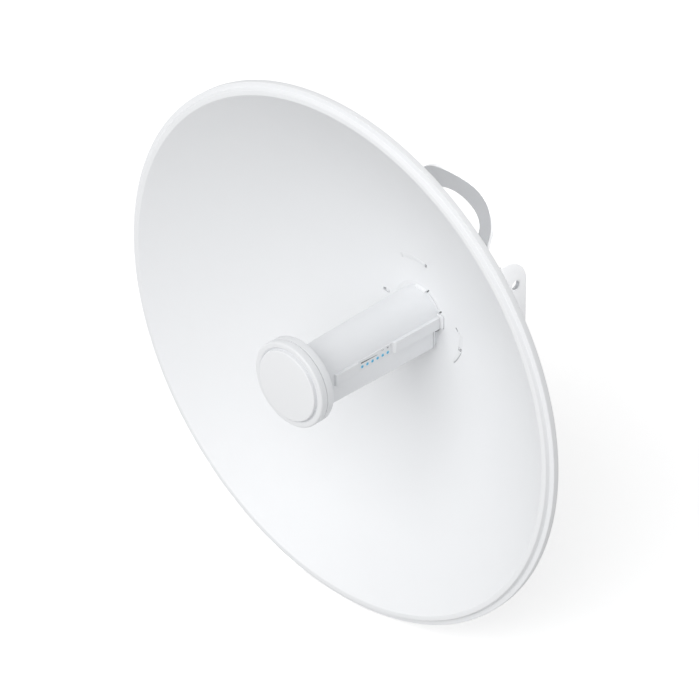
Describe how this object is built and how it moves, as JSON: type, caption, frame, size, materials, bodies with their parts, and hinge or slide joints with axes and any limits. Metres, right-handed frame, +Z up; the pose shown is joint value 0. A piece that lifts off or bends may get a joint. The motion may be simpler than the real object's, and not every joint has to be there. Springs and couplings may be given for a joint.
{
  "type": "point-to-point wireless bridge dish antenna",
  "caption": "White dish reflector with a feed tube and sub-reflector cap, side lamps, rear housing, flat loop and a tilting two-eared pole bracket.",
  "frame": {"origin": "centre of the flat rear face of the pole bracket's web", "axes": "+Y out of the bracket's rear face towards the pole, -Y along the boresight, +Z up, +X to the lamp side"},
  "size_m": [0.42, 0.2263, 0.42],
  "materials": {
    "powder_coat": "white powder coat, satin",
    "white_plastic": "white moulded plastic, fine texture",
    "grey_plastic": "light grey plastic",
    "zinc": "zinc plated",
    "blue_lens": "clear blue lamp lens"
  },
  "bodies": {
    "mount": {"pole_bracket": "powder_coat"},
    "head": {"reflector": "powder_coat", "hub_collar": "white_plastic", "feed_tube": "white_plastic", "feed_bottom_panel": "white_plastic", "feed_neck": "white_plastic", "side_strip": "white_plastic", "lamp_window": "grey_plastic", "lamp_1": "blue_lens", "lamp_2": "blue_lens", "lamp_3": "blue_lens", "lamp_4": "blue_lens", "lamp_5": "blue_lens", "lamp_6": "blue_lens", "cap_base": "white_plastic", "cap_ring": "white_plastic", "cap_disc": "white_plastic", "bayonet_tab_1": "white_plastic", "bayonet_tab_2": "white_plastic", "bayonet_tab_3": "white_plastic", "rear_housing": "white_plastic", "rear_cover": "white_plastic", "port_door": "white_plastic", "cable_inlet": "grey_plastic", "rear_loop": "powder_coat", "loop_spacer_left": "white_plastic", "loop_spacer_right": "white_plastic", "loop_screw_left": "zinc", "loop_screw_right": "zinc", "tilt_yoke": "powder_coat", "yoke_screw_1": "zinc", "yoke_screw_2": "zinc", "yoke_screw_3": "zinc", "yoke_screw_4": "zinc", "pivot_bush_left": "zinc", "pivot_bush_right": "zinc", "lock_bolt_left": "zinc", "lock_bolt_right": "zinc", "lock_nut_left": "zinc", "lock_nut_right": "zinc"}
  },
  "joints": [
    {"name": "tilt", "type": "hinge", "parent": "mount", "child": "head", "pos_m": [0, -0.021, 0.09], "axis": [1, 0, 0], "range_deg": [-20, 20]}
  ]
}
